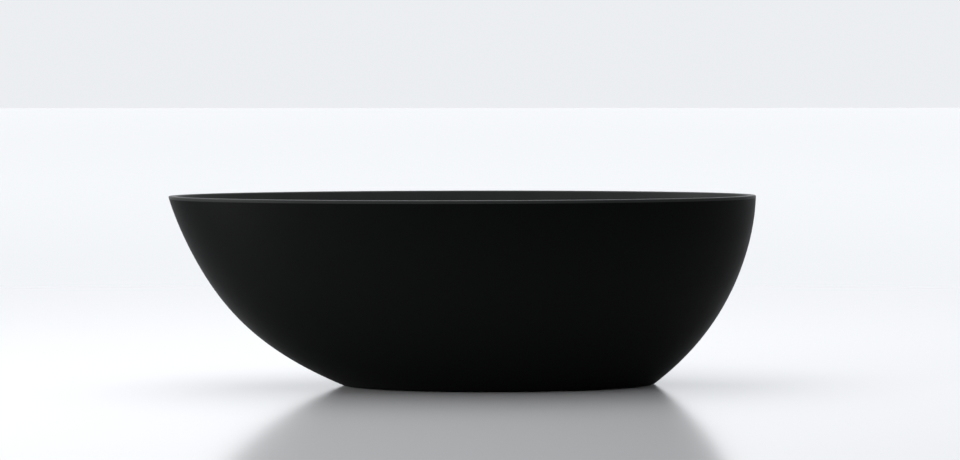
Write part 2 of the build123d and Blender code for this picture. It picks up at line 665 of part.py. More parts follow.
def overflow_tee():
    """The chamber round the tail, with a branch towards the foot end for the overflow pipe."""
    made = disc(TEE / 2, TEE_BOTTOM, TEE_TOP)
    lying = Pos(0, 0, BRANCH_HEIGHT) * Rot(0, 90, 0)
    made += lying * disc(PIPE_SOCKET, 0, BRANCH_END)
    made -= disc(THREADED_BORE, TEE_BOTTOM - CUT, TEE_TOP + CUT)
    made -= disc(TEE / 2 - TEE_WALL, TEE_BOTTOM + TEE_COLLAR, TEE_TOP - TEE_COLLAR)
    made -= lying * disc(PIPE_SOCKET_BORE, BRANCH_END - PIPE_SOCKET_DEPTH, BRANCH_END + CUT)
    return made - lying * disc(PIPE / 2 - PIPE_WALL, WASTE_TAIL / 2, BRANCH_END)


NUT_TOP = TAIL_END + UNION_NUT_ON_THREAD
OUTLET_FACE = TAIL_END - OUTLET_WASHER
NUT_LIP_TOP = OUTLET_FACE - OUTLET_FLANGE
NUT_BOTTOM = NUT_LIP_TOP - UNION_NUT_LIP
OUTLET_END = NUT_BOTTOM - OUTLET_LENGTH


def union_nut():
    made = hexagon(UNION_NUT_FLATS, NUT_BOTTOM, NUT_TOP)
    made -= disc(THREADED_BORE, NUT_LIP_TOP, NUT_TOP + CUT)
    return made - disc(OUTLET / 2 + THREAD_FIT, NUT_BOTTOM - CUT, NUT_LIP_TOP + CUT)


def tailpiece():
    made = disc(OUTLET / 2, OUTLET_END, OUTLET_FACE) + disc(WASTE_TAIL / 2, NUT_LIP_TOP, OUTLET_FACE)
    made += disc(OUTLET / 2 + OUTLET_BEAD_STEP, NUT_BOTTOM - OUTLET_BEAD, NUT_BOTTOM)
    return made - disc(OUTLET / 2 - OUTLET_WALL, OUTLET_END - CUT, OUTLET_FACE + CUT)


# ---- The plug, standing open, on the same axis --------------------------------------------------------------

GASKET_BOTTOM = LEDGE_TOP + PLUG_SHUT_GAP + PLUG_LIFT
CAP_BOTTOM = GASKET_BOTTOM + PLUG_GASKET
CARTRIDGE_TOP = HUB_TOP + CARTRIDGE_ABOVE_HUB
CARTRIDGE_BOTTOM = CARTRIDGE_TOP - CARTRIDGE_LENGTH
COLLAR_BOTTOM = GASKET_BOTTOM - STEM_COLLAR_HEIGHT
PISTON_TOP = CARTRIDGE_TOP - CARTRIDGE_GUIDE - SLIDING_FIT


def plug_cap():
    """A domed disc, with a blind hole for the stem."""
    edge, crown = (PLUG / 2, CAP_BOTTOM + PLUG_CAP), (0, CAP_BOTTOM + PLUG_CAP + PLUG_CROWN)
    outline = Polyline(crown, (0, CAP_BOTTOM), (PLUG / 2, CAP_BOTTOM), edge)
    outline += TangentArc(crown, edge, tangent=(1, 0))
    half = make_face(outline)
    half = fillet(half.vertices().sort_by_distance((*edge, 0))[0], PLUG_ROUND)
    made = revolve(Plane.XZ * half, Axis.Z)
    return made - disc(STEM / 2, CAP_BOTTOM - CUT, CAP_BOTTOM + STEM_IN_CAP)


def plug_stem():
    """The rod under the cap, with the collar that holds the gasket and the piston that stops the lift."""
    made = disc(STEM / 2, PISTON_TOP - PISTON_HEIGHT, CAP_BOTTOM + STEM_IN_CAP)
    made += disc(STEM_COLLAR / 2, COLLAR_BOTTOM, GASKET_BOTTOM)
    return made + disc(PISTON / 2, PISTON_TOP - PISTON_HEIGHT, PISTON_TOP)


def plug_cartridge():
    """The fixed guide that the stem slides in. It screws into the waste's hub, down to its hexagon."""
    made = disc(CARTRIDGE / 2, CARTRIDGE_BOTTOM, CARTRIDGE_TOP)
    made += hexagon(CARTRIDGE_FLATS, HUB_TOP, HUB_TOP + CARTRIDGE_HEX)
    guide_bottom = CARTRIDGE_TOP - CARTRIDGE_GUIDE
    made -= disc(PISTON / 2 + SLIDING_FIT, CARTRIDGE_BOTTOM + CARTRIDGE_END, guide_bottom)
    return made - disc(STEM / 2 + SLIDING_FIT, guide_bottom - CUT, CARTRIDGE_TOP + CUT)


def plug_spring():
    """The coil spring round the stem, from the cartridge to the collar."""
    radius = (SPRING - SPRING_WIRE) / 2
    low, high = CARTRIDGE_TOP + SPRING_WIRE, COLLAR_BOTTOM - SPRING_WIRE
    line = Pos(0, 0, low) * Helix((high - low) / SPRING_TURNS, high - low, radius)
    return sweep(Plane(origin=line @ 0, z_dir=line % 0) * Circle(SPRING_WIRE / 2), line)


# ---- The overflow, in its own frame: the seat on the wall at 0, the bath side up ----------------------------

CHAMBER = OVERFLOW_HOLE / 2 + OVERFLOW_WALL
COLLAR = OVERFLOW_HOLE / 2 - OVERFLOW_COLLAR_CLEARANCE
RING_BORE = COLLAR - OVERFLOW_COLLAR_WALL
GASKET_BACK = -OVERFLOW_BOSS - OVERFLOW_GASKET
BODY_BACK = GASKET_BACK - OVERFLOW_BODY_DEPTH
HUB_BACK = OVERFLOW_RING_THICKNESS - OVERFLOW_HUB_THICKNESS
POST_TOP = HUB_BACK - OVERFLOW_POST_GAP
SOCKET_AXIS = GASKET_BACK - PIPE_SOCKET_BEHIND_GASKET - PIPE_SOCKET
SOCKET_END = CHAMBER + PIPE_SOCKET_LENGTH
PIPE_START = SOCKET_END - PIPE_SOCKET_DEPTH
COVER_BACK = OVERFLOW_RING_THICKNESS + OVERFLOW_MOUTH
at_socket = Pos(0, 0, SOCKET_AXIS)


def overflow_gasket():
    return disc(OVERFLOW_SEAT / 2, GASKET_BACK, -OVERFLOW_BOSS, OVERFLOW_HOLE / 2)


def overflow_body():
    """The chamber behind the wall, with a post for the screw and a socket down to the pipe."""
    made = disc(OVERFLOW_SEAT / 2, GASKET_BACK - OVERFLOW_FLANGE, GASKET_BACK)
    made += disc(CHAMBER, BODY_BACK, GASKET_BACK)
    made += at_socket * toward_y(disc(PIPE_SOCKET, 0, SOCKET_END))
    made -= disc(CHAMBER - OVERFLOW_WALL, BODY_BACK + OVERFLOW_WALL, GASKET_BACK + CUT)
    made -= at_socket * toward_y(disc(PIPE / 2 - PIPE_WALL, 0, PIPE_START))
    made -= at_socket * toward_y(disc(PIPE_SOCKET_BORE, PIPE_START, SOCKET_END + CUT))
    made += disc(OVERFLOW_POST / 2, BODY_BACK, POST_TOP)
    return made - disc(OVERFLOW_SCREW / 2, POST_TOP - OVERFLOW_SCREW_BITE, POST_TOP + CUT)


def overflow_ring():
    """The ring on the bath side: a collar through the wall, and three spokes to the screw's hub."""
    made = disc(OVERFLOW_RING / 2, 0, OVERFLOW_RING_THICKNESS)
    made = fillet(made.edges().sort_by(Axis.Z)[-1], OVERFLOW_RING_THICKNESS / 2)
    made += disc(COLLAR, -OVERFLOW_COLLAR_LENGTH, 0)
    made -= disc(RING_BORE, -OVERFLOW_COLLAR_LENGTH - CUT, OVERFLOW_RING_THICKNESS + CUT)
    reach = RING_BORE + OVERFLOW_COLLAR_WALL / 2
    depth = OVERFLOW_HUB_THICKNESS
    spoke = Pos(0, 0, HUB_BACK) * Box(reach, OVERFLOW_SPOKE, depth, align=(Align.MIN, Align.CENTER, Align.MIN))
    made += disc(OVERFLOW_HUB / 2, HUB_BACK, OVERFLOW_RING_THICKNESS)
    for i in range(SPOKES):
        made += Rot(0, 0, 90 + i * 360 / SPOKES) * spoke
    return made - disc(OVERFLOW_SCREW / 2, HUB_BACK - CUT, OVERFLOW_RING_THICKNESS + CUT)


def overflow_cover():
    """The round cover, pushed onto the screw's head. The water goes in all round behind it."""
    face = disc(OVERFLOW_COVER / 2, COVER_BACK, COVER_BACK + OVERFLOW_COVER_THICKNESS)
    face = fillet(face.edges().sort_by(Axis.Z)[-1], OVERFLOW_COVER_ROUND)
    boss = disc(OVERFLOW_COVER_BOSS / 2, OVERFLOW_RING_THICKNESS, COVER_BACK, OVERFLOW_SCREW_HEAD / 2)
    return face + boss


def overflow_screw():
    length = OVERFLOW_RING_THICKNESS - POST_TOP + OVERFLOW_SCREW_BITE
    made = screw(OVERFLOW_SCREW, length, OVERFLOW_SCREW_HEAD, SCREW_HEAD_HEIGHT)
    return Pos(0, 0, OVERFLOW_RING_THICKNESS) * made


def overflow_pipe():
    """The bent pipe, from the overflow's socket down between the walls and in to the tee's branch."""
    start = overflow_origin + into_bath * SOCKET_AXIS + down_wall * PIPE_START
    knee = start + down_wall * ((start.Z - PIPE_KNEE_HEIGHT) / -down_wall.Z)
    elbow_x = outer_inside.reach("foot", BRANCH_HEIGHT) - PIPE / 2 - PIPE_ELBOW_TO_SKIRT
    elbow = Vector(elbow_x, 0, BRANCH_HEIGHT)
    end = Vector(WASTE_X + BRANCH_END - PIPE_SOCKET_DEPTH, 0, BRANCH_HEIGHT)
    line = FilletPolyline(start, knee, elbow, end, radius=PIPE_BEND)
    section = Circle(PIPE / 2) - Circle(PIPE / 2 - PIPE_WALL)
    return sweep(Plane(origin=start, z_dir=down_wall) * section, line)


# ---- The whole bath -----------------------------------------------------------------------------------------

outer_skin, outer_laminate = skirt()
basin_skin, basin_laminate = basin()
nodes = {
    "outer_skin": outer_skin,
    "outer_laminate": outer_laminate,
    "basin_skin": basin_skin,
    "basin_laminate": basin_laminate,
    "rim_bond": rim_bond(),
    "base_board": base_board(),
    "weld_nuts": weld_nuts(),
    "rail_end_plugs": rail_end_plugs(),
    "board_screws": board_screws(),
    "bracket_screws": bracket_screws(),
}
for side_name, side in SIDES.items():
    nodes[f"frame_rail_{side_name}"] = rail(side)
    for end_name, x in zip(("head", "foot"), BRACKET_X):
        nodes[f"skirt_bracket_{end_name}_{side_name}"] = skirt_bracket(x, side)
for bar_name, from_leg in CROSSBARS_FROM_LEG.items():
    nodes[f"crossbar_{bar_name}"] = crossbar(from_leg)
for leg_name, place in LEGS.items():
    for piece_name, piece in (("sole", leg_sole), ("pad", leg_pad), ("stud", leg_stud), ("nut", leg_nut)):
        nodes[f"leg_{piece_name}_{leg_name}"] = place * piece()

waste = {
    "waste_body": waste_body(),
    "waste_upper_seal": disc(WASTE_FLANGE / 2, RECESS_FLOOR, FLANGE_UNDERSIDE, WASTE_TAIL / 2),
    "waste_lower_seal": disc(TEE / 2, TEE_TOP, UNDERSIDE, WASTE_TAIL / 2),
    "overflow_tee": overflow_tee(),
    "waste_lock_nut": hexagon(WASTE_NUT_FLATS, TEE_BOTTOM - WASTE_NUT, TEE_BOTTOM, THREADED_BORE),
    "outlet_washer": disc(WASTE_TAIL / 2, OUTLET_FACE, TAIL_END, OUTLET / 2 - OUTLET_WALL),
    "union_nut": union_nut(),
    "tailpiece": tailpiece(),
    "plug_cap": plug_cap(),
    "plug_gasket": disc(PLUG / 2 - PLUG_GASKET_EDGE, GASKET_BOTTOM, CAP_BOTTOM, STEM / 2),
    "plug_stem": plug_stem(),
    "plug_cartridge": plug_cartridge(),
    "plug_spring": plug_spring(),
}
nodes |= {name: at_waste * piece for name, piece in waste.items()}

overflow = {
    "overflow_gasket": overflow_gasket(),
    "overflow_body": overflow_body(),
    "overflow_ring": overflow_ring(),
    "overflow_cover": overflow_cover(),
    "overflow_screw": overflow_screw(),
}
nodes |= {name: at_overflow * piece for name, piece in overflow.items()}
nodes["overflow_pipe"] = overflow_pipe()

for name, shape in nodes.items():
    export_step(shape, f"parts/{name}.step")
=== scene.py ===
# The looks of a freestanding oval bathtub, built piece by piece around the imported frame. Metres, as in the
# frame: +Z up, the head end towards -X, the waste and the overflow towards +X, the front towards -Y.
import bpy
from math import cos, pi, radians, sin
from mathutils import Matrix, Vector


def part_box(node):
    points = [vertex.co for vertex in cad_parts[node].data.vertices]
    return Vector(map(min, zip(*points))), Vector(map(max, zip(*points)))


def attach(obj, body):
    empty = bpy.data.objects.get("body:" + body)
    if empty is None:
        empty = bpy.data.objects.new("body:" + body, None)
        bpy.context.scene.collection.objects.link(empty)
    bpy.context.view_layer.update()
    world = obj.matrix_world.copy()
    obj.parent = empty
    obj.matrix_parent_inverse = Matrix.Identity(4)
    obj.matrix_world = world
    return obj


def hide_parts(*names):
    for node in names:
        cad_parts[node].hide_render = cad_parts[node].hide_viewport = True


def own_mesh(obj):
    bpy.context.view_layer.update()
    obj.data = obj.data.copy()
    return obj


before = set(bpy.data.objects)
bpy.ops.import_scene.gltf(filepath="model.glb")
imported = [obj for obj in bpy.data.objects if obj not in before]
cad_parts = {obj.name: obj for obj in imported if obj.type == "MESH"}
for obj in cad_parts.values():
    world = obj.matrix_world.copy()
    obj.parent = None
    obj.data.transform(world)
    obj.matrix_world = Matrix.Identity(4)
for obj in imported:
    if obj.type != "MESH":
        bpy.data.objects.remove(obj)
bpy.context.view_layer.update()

# ---- The camera -------------------------------------------------------------------------------------------
# A long lens, a little above the rim and far off. It stands slightly towards the head end, and looks down by a
# few degrees.

CAMERA_DISTANCE = 8.0
CAMERA_HEIGHT = 0.845
CAMERA_SIDE = radians(3.16)        # how far round towards the head end it stands
CAMERA_DIP = radians(2.83)
CAMERA_TURN = radians(-3.50)
CAMERA_LENS = 103.8
bpy.ops.object.camera_add(
    location=(-CAMERA_DISTANCE * sin(CAMERA_SIDE), -CAMERA_DISTANCE * cos(CAMERA_SIDE), CAMERA_HEIGHT),
    rotation=(radians(90) - CAMERA_DIP, 0, CAMERA_TURN),
)
camera = bpy.context.object
camera.name = "camera"
camera.data.lens = CAMERA_LENS
bpy.context.scene.camera = camera


# ---- The studio -------------------------------------------------------------------------------------------
# A pale polished floor, a window's soft light from the head end and another overhead, and a pale surround that
# lights the bath mostly from above and from behind.

SURROUND = (0.93, 0.95, 0.98)


def finish_of(name, colour, roughness, metallic=0.0):
    """A new material with one Principled shader, whose nodes the caller goes on to add to."""
    made = bpy.data.materials.new(name)
    made.use_nodes = True
    shader = made.node_tree.nodes["Principled BSDF"]
    shader.inputs["Base Color"].default_value = (*colour, 1)
    shader.inputs["Roughness"].default_value = roughness
    shader.inputs["Metallic"].default_value = metallic
    return made, shader


bpy.ops.object.select_all(action="DESELECT")
bpy.ops.mesh.primitive_plane_add(size=300)
floor = bpy.context.object
floor.name = "studio_floor"
floor_finish, shader = finish_of("polished_floor", (0.46, 0.46, 0.465), 0.14)
shader.inputs["Specular IOR Level"].default_value = 0.3
floor.data.materials.append(floor_finish)


def softbox(name, place, aim, size, power):
    """A rectangular lamp that points at a spot."""
    bpy.ops.object.light_add(type="AREA", location=place)
    lamp = bpy.context.object
    lamp.name = name
    lamp.data.shape = "RECTANGLE"
    lamp.data.size, lamp.data.size_y = size
    lamp.data.energy = power
    lamp.rotation_euler = (Vector(aim) - Vector(place)).to_track_quat("-Z", "Y").to_euler()


softbox("window_light", place=(-4.2, -1.7, 1.4), aim=(-0.4, 0, 0.3), size=(2.2, 2.0), power=140)
softbox("ceiling_light", place=(-0.5, 0.4, 3.2), aim=(0, 0.1, 0.4), size=(3.6, 2.4), power=90)

world = bpy.data.worlds.new("surround")
bpy.context.scene.world = world
world.use_nodes = True
nodes, links = world.node_tree.nodes, world.node_tree.links
seen = nodes["Background"]
seen.inputs["Color"].default_value = (*SURROUND, 1)
seen.inputs["Strength"].default_value = 0.9
direction = nodes.new("ShaderNodeTexCoord")
parts = nodes.new("ShaderNodeSeparateXYZ")
links.new(direction.outputs["Generated"], parts.inputs["Vector"])
above = nodes.new("ShaderNodeMath")
above.operation = "MULTIPLY_ADD"
above.inputs[1].default_value = 0.9
links.new(parts.outputs["Z"], above.inputs[0])
links.new(parts.outputs["Y"], above.inputs[2])
shade = nodes.new("ShaderNodeMapRange")
shade.interpolation_type = "SMOOTHSTEP"
shade.inputs["From Min"].default_value = -0.5
shade.inputs["From Max"].default_value = 0.7
shade.inputs["To Min"].default_value = 0.05
shade.inputs["To Max"].default_value = 1.25
links.new(above.outputs["Value"], shade.inputs["Value"])
cast = nodes.new("ShaderNodeBackground")
cast.inputs["Color"].default_value = (*SURROUND, 1)
links.new(shade.outputs["Result"], cast.inputs["Strength"])
ray = nodes.new("ShaderNodeLightPath")
either = nodes.new("ShaderNodeMixShader")
links.new(ray.outputs["Is Camera Ray"], either.inputs["Fac"])
links.new(cast.outputs["Background"], either.inputs[1])
links.new(seen.outputs["Background"], either.inputs[2])
links.new(either.outputs["Shader"], nodes["World Output"].inputs["Surface"])
bpy.context.scene.view_settings.view_transform = "Standard"


# ---- The outer wall ---------------------------------------------------------------------------------------
# One sheet of matt black acrylic, formed over a mould: an oval tub that turns in at the bottom to a narrow
# lip. Sprayed glass fibre stiffens its back, and it is bonded under the rim all round.

def object_noise(nodes, links, scale, detail=2.0, stretch=None):
    """A noise texture in the object's own metres, drawn out along an axis where stretch says so."""
    coordinates = nodes.new("ShaderNodeTexCoord")
    noise = nodes.new("ShaderNodeTexNoise")
    noise.inputs["Scale"].default_value = scale
    noise.inputs["Detail"].default_value = detail
    source = coordinates.outputs["Object"]
    if stretch:
        mapping = nodes.new("ShaderNodeMapping")
        mapping.inputs["Scale"].default_value = stretch
        links.new(source, mapping.inputs["Vector"])
        source = mapping.outputs["Vector"]
    links.new(source, noise.inputs["Vector"])
    return noise.outputs["Fac"]


def raise_bumps(nodes, links, height, shader, strength, distance):
    """Raises a fine texture on a finish from a 0 to 1 pattern."""
    bump = nodes.new("ShaderNodeBump")
    bump.inputs["Strength"].default_value = strength
    bump.inputs["Distance"].default_value = distance
    links.new(height, bump.inputs["Height"])
    links.new(bump.outputs["Normal"], shader.inputs["Normal"])


def vary(nodes, links, source, low, high, target):
    """Sends a 0 to 1 pattern to a socket, as a value between two others."""
    spread = nodes.new("ShaderNodeMapRange")
    spread.inputs["From Min"].default_value = 0.3
    spread.inputs["From Max"].default_value = 0.7
    spread.inputs["To Min"].default_value = low
    spread.inputs["To Max"].default_value = high
    links.new(source, spread.inputs["Value"])
    links.new(spread.outputs["Result"], target)


def tint(nodes, links, source, dark, light, target):
    """Sends a 0 to 1 pattern to a colour socket, as a mix of two colours."""
    ramp = nodes.new("ShaderNodeValToRGB")
    ramp.color_ramp.elements[0].position = 0.32
    ramp.color_ramp.elements[0].color = (*dark, 1)
    ramp.color_ramp.elements[1].position = 0.68
    ramp.color_ramp.elements[1].color = (*light, 1)
    links.new(source, ramp.inputs["Fac"])
    links.new(ramp.outputs["Color"], target)


def plain(
    name, colour, roughness, metallic=0.0, specular=0.5, grain=900.0, depth=0.00015, stretch=None, shift=0.16
):
    """A moulded, plated or painted finish: its colour and sheen wander a little, over a fine grain."""
    made, shader = finish_of(name, colour, roughness, metallic)
    shader.inputs["Specular IOR Level"].default_value = specular
    nodes, links = made.node_tree.nodes, made.node_tree.links
    cloud = object_noise(nodes, links, 14.0, 5.0)
    dark = [value * (1 - shift) for value in colour]
    light = [min(1.0, value * (1 + shift)) for value in colour]
    tint(nodes, links, cloud, dark, light, shader.inputs["Base Color"])
    vary(nodes, links, cloud, roughness * (1 - shift), roughness * (1 + shift), shader.inputs["Roughness"])
    raise_bumps(nodes, links, object_noise(nodes, links, grain, 3.0, stretch), shader, 0.25, depth)
    return made


def refinish(finish, *node_names):
    """Gives CAD nodes a finish, on the material slots that they have."""
    for name in node_names:
        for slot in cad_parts[name].material_slots:
            slot.material = finish


# The outer wall's black is painted darker than the basin's, though both are the same acrylic: painted shade
# where the wall faces down, away from the lamps.
matt_painted_shade_black = plain("matt_black_acrylic", (0.002, 0.0024, 0.0023), 0.5, specular=0.07, grain=700, shift=0.05)
refinish(matt_painted_shade_black, "outer_skin")

# ---- The basin --------------------------------------------------------------------------------------------
# The bath itself and its rim, formed from one sheet of the same acrylic, satin where the water runs. Its
# colour is painted lighter than the outer wall's: painted light where the basin faces up to the lamps. The rim
# turns over the outer wall, on a line of black sealant.

satin_painted_light_black = plain("satin_black_acrylic_painted_light", (0.029, 0.0305, 0.03), 0.42, specular=0.07, grain=700, shift=0.05)
refinish(satin_painted_light_black, "basin_skin")
sealant = plain("black_sealant", (0.008, 0.008, 0.008), 0.6, specular=0.3, grain=220, depth=0.0004)
refinish(sealant, "rim_bond")

# ---- The laminate -----------------------------------------------------------------------------------------
# Chopped glass strands in polyester resin, sprayed on the backs of both walls and rolled down by hand: a
# rough straw-coloured coat, which shows only from below.

laminate, shader = finish_of("glass_fibre_laminate", (0.5, 0.47, 0.36), 0.5)
nodes, links = laminate.node_tree.nodes, laminate.node_tree.links
strands = object_noise(nodes, links, 60.0, 8.0, (1.0, 5.0, 2.0))
crossed = object_noise(nodes, links, 60.0, 8.0, (5.0, 1.0, 2.0))
woven = nodes.new("ShaderNodeMath")
woven.operation = "MAXIMUM"
links.new(strands, woven.inputs[0])
links.new(crossed, woven.inputs[1])
tint(
    nodes, links, woven.outputs["Value"], (0.30, 0.27, 0.18), (0.62, 0.58, 0.46), shader.inputs["Base Color"]
)
vary(nodes, links, woven.outputs["Value"], 0.35, 0.65, shader.inputs["Roughness"])
raise_bumps(nodes, links, woven.outputs["Value"], shader, 0.8, 0.0012)
refinish(laminate, "outer_laminate", "basin_laminate")

# ---- The base board ---------------------------------------------------------------------------------------
# An oval of moisture-resistant chipboard, laid under the bath's floor while the laminate is wet. It takes the
# screws of the underframe, and spreads the load onto the rails.

board, shader = finish_of("chipboard", (0.5, 0.36, 0.2), 0.75)
nodes, links = board.node_tree.nodes, board.node_tree.links
coordinates = nodes.new("ShaderNodeTexCoord")
chips = nodes.new("ShaderNodeTexVoronoi")
chips.inputs["Scale"].default_value = 260
links.new(coordinates.outputs["Object"], chips.inputs["Vector"])
grey = nodes.new("ShaderNodeRGBToBW")
links.new(chips.outputs["Color"], grey.inputs["Color"])
tint(nodes, links, grey.outputs["Val"], (0.33, 0.22, 0.11), (0.60, 0.45, 0.27), shader.inputs["Base Color"])
raise_bumps(nodes, links, grey.outputs["Val"], shader, 0.3, 0.0004)
refinish(board, "base_board")

# ---- The underframe ---------------------------------------------------------------------------------------
# Square steel tube, welded, in black powder coat, with plated nuts welded under the rails for the legs. Nylon
# plugs close the rails' ends, and the screws and brackets are zinc plated.

powder_coat = plain("black_powder_coat", (0.02, 0.02, 0.021), 0.45, specular=0.5, grain=420, depth=0.0005)
refinish(
    powder_coat, "frame_rail_front", "frame_rail_back", "crossbar_head", "crossbar_middle", "crossbar_foot"
)
zinc = plain("zinc_plate", (0.55, 0.56, 0.55), 0.34, metallic=1.0, grain=350, depth=0.0002, shift=0.2)
nylon = plain("black_nylon", (0.022, 0.022, 0.023), 0.42, grain=600, depth=0.0003)
rubber = plain("black_rubber", (0.014, 0.014, 0.014), 0.7, specular=0.35, grain=500, depth=0.0004)
refinish(zinc, "weld_nuts", "board_screws", "bracket_screws")
for end in ("head", "foot"):
    for side in ("front", "back"):
        refinish(zinc, f"skirt_bracket_{end}_{side}")
refinish(nylon, "rail_end_plugs")

# ---- The levelling legs -----------------------------------------------------------------------------------
# Four M12 studs screw into the welded nuts, each locked by a jam nut. A nylon pad with a rubber sole swivels
# on the ball at each stud's foot. Turning the stud's hexagon raises or lowers the bath.

MM = 0.001


def deselect():
    bpy.ops.object.select_all(action="DESELECT")


def turned(name, outline, vertices=48, hollow=False):
    """A piece round the Z axis: a circle, extruded through each (radius, height) of its outline. A hollow one
    comes back to its first circle, and a solid one is closed by a flat face at each end."""
    deselect()
    radius, height = outline[0]
    bpy.ops.mesh.primitive_circle_add(
        vertices=vertices, radius=radius, fill_type="NOTHING" if hollow else "NGON", location=(0, 0, height)
    )
    piece = bpy.context.object
    piece.name = name
    bpy.ops.object.mode_set(mode="EDIT")
    stops = outline[1:] + outline[:1] if hollow else outline[1:]
    for new_radius, new_height in stops:
        bpy.ops.mesh.extrude_region_move(TRANSFORM_OT_translate={"value": (0, 0, new_height - height)})
        bpy.ops.transform.resize(
            value=(new_radius / radius, new_radius / radius, 1), center_override=(0, 0, new_height)
        )
        radius, height = new_radius, new_height
    bpy.ops.mesh.select_all(action="SELECT")
    bpy.ops.mesh.remove_doubles(threshold=0.000001)
    bpy.ops.mesh.normals_make_consistent(inside=False)
    bpy.ops.object.mode_set(mode="OBJECT")
    return piece


def place(piece, to=(0, 0, 0), turn=(0, 0, 0)):
    """Puts a piece at a spot, and leaves its object at the origin, unturned."""
    deselect()
    piece.select_set(True)
    bpy.context.view_layer.objects.active = piece
    piece.rotation_euler = turn
    piece.location = Vector(piece.location) + Vector(to)
    bpy.ops.object.transform_apply(location=True, rotation=True, scale=True)
    return piece


def modified(piece, kind, **settings):
    """Adds a modifier, sets it and applies it."""
    modifier = piece.modifiers.new(kind.lower(), kind)
    for key, value in settings.items():
        setattr(modifier, key, value)
    deselect()
    piece.select_set(True)
    bpy.context.view_layer.objects.active = piece
    bpy.ops.object.modifier_apply(modifier=modifier.name)
    return piece


def combined(piece, other, operation):
    """A piece cut, joined or crossed with another, which is used up."""
    modified(piece, "BOOLEAN", operation=operation, object=other, solver="EXACT")
    bpy.data.objects.remove(other)
    return piece


def joined(name, pieces):
    """Several meshes made one piece."""
    deselect()
    for piece in pieces:
        piece.select_set(True)
    bpy.context.view_layer.objects.active = pieces[0]
    bpy.ops.object.join()
    pieces[0].name = name
    return pieces[0]


def copy_of(piece, name, to=(0, 0, 0), turn=(0, 0, 0)):
    """A copy with its own mesh, at its own place."""
    deselect()
    piece.select_set(True)
    bpy.context.view_layer.objects.active = piece
    bpy.ops.object.duplicate()
    made = bpy.context.object
    made.name = name
    return place(made, to, turn)


def finished(piece, finish, body, angle=35):
    """Gives a piece its finish and its smooth shading, and says what it moves with."""
    deselect()
    piece.select_set(True)
    bpy.context.view_layer.objects.active = piece
    bpy.ops.object.shade_smooth_by_angle(angle=radians(angle))
    piece.data.materials.clear()
    piece.data.materials.append(finish)
    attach(piece, body)
    return piece


def hexagon_nut(name, flats, low, high, bore, chamfer=0.0012):
    """A nut: a hexagon whose corners are turned off at both ends, with a countersunk hole."""
    corner = flats / 2 / cos(pi / 6)
    made = place(turned(name, [(corner, low), (corner, high)], 6), turn=(0, 0, pi / 6))
    rise = chamfer * 0.6
    edge = corner - chamfer
    past = corner + MM / 10
    lens = turned("lens", [(edge, low), (past, low + rise), (past, high - rise), (edge, high)])
    made = combined(made, lens, "INTERSECT")
    sink = 0.5 * MM
    drill = turned("drill", [
        (bore + 2 * sink, low - sink), (bore, low + sink), (bore, high - sink), (bore + 2 * sink, high + sink)
    ])
    return combined(made, drill, "DIFFERENCE")


def thread(name, root, crest, pitch, low, high, steps=24):
    """A screw thread's ridge: a triangle, carried round and up the Z axis."""
    deselect()
    bpy.ops.mesh.primitive_circle_add(vertices=3, radius=1, rotation=(pi / 2, pi / 2, 0))
    made = bpy.context.object
    made.name = name
    made.scale = ((crest - root) / 1.5, pitch * 0.55, 1)
    place(made)
    place(made, to=((root + (crest - root) / 3), 0, low))
    turns = int((high - low) / pitch)
    modified(
        made, "SCREW", screw_offset=pitch, iterations=turns, steps=steps, render_steps=steps,
        use_merge_vertices=False,
    )
    bpy.ops.object.mode_set(mode="EDIT")
    bpy.ops.mesh.select_all(action="SELECT")
    bpy.ops.mesh.remove_doubles(threshold=0.000001)
    bpy.ops.mesh.fill_holes(sides=4)
    bpy.ops.mesh.normals_make_consistent(inside=False)
    bpy.ops.object.mode_set(mode="OBJECT")
    return made


BALL = 5 * MM
BALL_HEIGHT = 8.5 * MM
NECK = 3.5 * MM
DRIVE_FLATS = 14 * MM
DRIVE_BOTTOM = 15 * MM
DRIVE_TOP = 23 * MM
THREAD_ROOT = 5.15 * MM
THREAD_CREST = 6 * MM
PITCH = 1.75 * MM

stud_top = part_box("leg_stud_head_front")[1][2]
ball_rings = [(BALL * sin(radians(a)), BALL_HEIGHT - BALL * cos(radians(a))) for a in range(8, 136, 8)]
shaft = turned("stud", ball_rings + [
    (NECK, BALL_HEIGHT + 4 * MM), (NECK, DRIVE_BOTTOM + MM), (THREAD_ROOT, DRIVE_BOTTOM + 2 * MM),
    (THREAD_ROOT, stud_top - MM), (THREAD_ROOT - 0.8 * MM, stud_top),
])
drive = hexagon_nut("drive", DRIVE_FLATS, DRIVE_BOTTOM, DRIVE_TOP, NECK - 0.2 * MM)
ridge = thread("ridge", THREAD_ROOT - 0.1 * MM, THREAD_CREST, PITCH, DRIVE_TOP + MM, stud_top - 2 * MM)
stud = joined("stud", [shaft, drive, ridge])

NUT_FLATS = 19 * MM
nut_low, nut_high = (corner[2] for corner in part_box("leg_nut_head_front"))
jam_nut = hexagon_nut("jam_nut", NUT_FLATS, nut_low, nut_high, THREAD_CREST)

